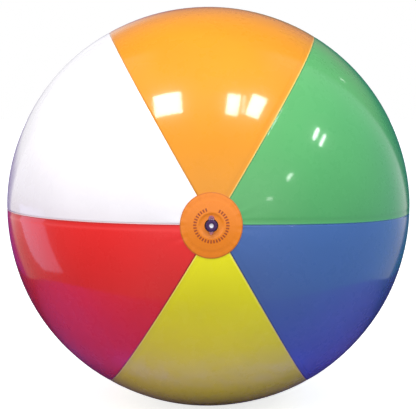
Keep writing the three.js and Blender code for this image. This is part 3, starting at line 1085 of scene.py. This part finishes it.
# The arc glows: a light patch that the ball mirrors as a pale sheen low on its front.
TABLE_GLOW = (0.03, 0.06, 0.66)  # a pale, uneven arc in front of where the ball stands
SHEEN_INSIDE = (0.09, 0.12)
SHEEN_OUTSIDE = (0.18, 0.14)
SHEEN_FRONT = (-0.07, -0.1)
TABLE_DROP = 1 * MM
TABLE_FRONT = (0.44, 0.42)  # half axes of its rounded front
TABLE_FRONT_SIDES = 48
TABLE_MIDDLE = 0.12  # how far behind the ball's centre the rounded front ends
TABLE_REAR = (0.55, 3.0)


def table_outline():
    half_width, depth = TABLE_FRONT
    corners = []
    for step in range(TABLE_FRONT_SIDES + 1):
        angle = math.pi * (step / TABLE_FRONT_SIDES - 1)
        corners.append((half_width * math.cos(angle), TABLE_MIDDLE + depth * math.sin(angle)))
    return corners + [TABLE_REAR, (-TABLE_REAR[0], TABLE_REAR[1])]


def studio_table():
    """A violet table just under the floor, out of the camera's sight, that the ball mirrors, with
    a glowing arc in front of the ball.
    """
    points = [(x, y, FLOOR - TABLE_DROP) for x, y in table_outline()]
    table, tree, shader = stage_sheet("table", points)
    place = tree.nodes.new("ShaderNodeTexCoord")
    split = tree.nodes.new("ShaderNodeSeparateXYZ")
    tree.links.new(place.outputs["Object"], split.inputs[0])
    x, y = split.outputs[:2]
    edge = (TABLE_MIDDLE - TABLE_FRONT[1], TABLE_EDGE_END)
    near = mixed(tree, change(tree, y, edge), TABLE_EDGE, TABLE_COLOR)
    cloth = mixed(tree, change(tree, y, TABLE_FAR_FROM), near, TABLE_FAR)
    tree.links.new(cloth, shader.inputs["Base Color"])
    squares = [product(tree, part, part) for part in (x, y)]
    away = computed(tree, "SQRT", computed(tree, "ADD", *squares))
    ring = product(tree, change(tree, away, SHEEN_INSIDE), change(tree, away, SHEEN_OUTSIDE))
    arc = product(tree, ring, change(tree, y, SHEEN_FRONT))
    # The glowing patch, made uneven by noise.
    patch = product(tree, arc, ranged(tree, noise(tree, 60), 0.3, 1.4))
    tree.links.new(patch, shader.inputs["Emission Strength"])
    set_values(shader, Emission_Color=(*TABLE_GLOW, 1))
    table.visible_camera = False


WINDOW_CORNERS = [
    (-1.32, 0.92, -0.07),
    (-1.36, 0.66, -0.45),
    (-1.39, 0.50, -0.58),
    (-1.45, 0.04, -0.68),
    (-1.59, 0.24, -0.07),
]
WINDOW_LIGHT = (1.05, 1.0, 1.35)


def studio_window():
    """The window low on the left, out of the camera's sight, with a leaning frame."""
    window, _, shader = stage_sheet("window", WINDOW_CORNERS)
    set_values(shader, Base_Color=(0, 0, 0, 1))
    set_values(shader, Emission_Color=(*WINDOW_LIGHT, 1), Emission_Strength=1)
    window.visible_camera = False


CAMERA_DISTANCE = 6 * BALL_RADIUS
CAMERA_AZIMUTH = math.radians(-0.75)
CAMERA_ELEVATION = math.radians(4.7)
CAMERA_LENS = 102.6
CAMERA_SHIFT = (-0.0007, 0.0041)
SENSOR_WIDTH = 36


def camera():
    data = bpy.data.cameras.new("camera")
    data.sensor_width = SENSOR_WIDTH
    data.lens = CAMERA_LENS
    data.shift_x, data.shift_y = CAMERA_SHIFT
    item = bpy.data.objects.new("camera", data)
    bpy.context.scene.collection.objects.link(item)
    level = math.cos(CAMERA_ELEVATION)
    back = Vector(
        (
            math.sin(CAMERA_AZIMUTH) * level,
            -math.cos(CAMERA_AZIMUTH) * level,
            math.sin(CAMERA_ELEVATION),
        )
    )
    item.location = back * CAMERA_DISTANCE
    item.rotation_mode = "QUATERNION"
    item.rotation_quaternion = (-back).to_track_quat("-Z", "Y")
    bpy.context.scene.camera = item


# ------------------------------------------------------------------ the scene

disc_vinyl = film_material("disc")
clear_vinyl = valve_material("clear_vinyl", VALVE_COLOR, 0.85)
# Painted shade: the plug's vinyl is tinted near black for the dark inside seen through it.
plug_shade_vinyl = valve_material("plug_shade_vinyl", PLUG_SHADE_COLOR, 0.3)
# Painted highlight: the hollow's floor is an opaque, near-white, frosted vinyl.
hollow_highlight_vinyl = valve_material("hollow_highlight_vinyl", (0.93, 0.94, 1.0), 0, 0.3, 0.45)

camera()
for index, color in enumerate(PANELS):
    panel(color, index)
front_disc()
rear_disc()
printed_ticks()
flange()
skirt()
stem()
flap()
plug()
strap()

studio_floor()
studio_table()
studio_world()
studio_lamps()
studio_window()
bpy.context.scene.view_settings.view_transform = "Standard"
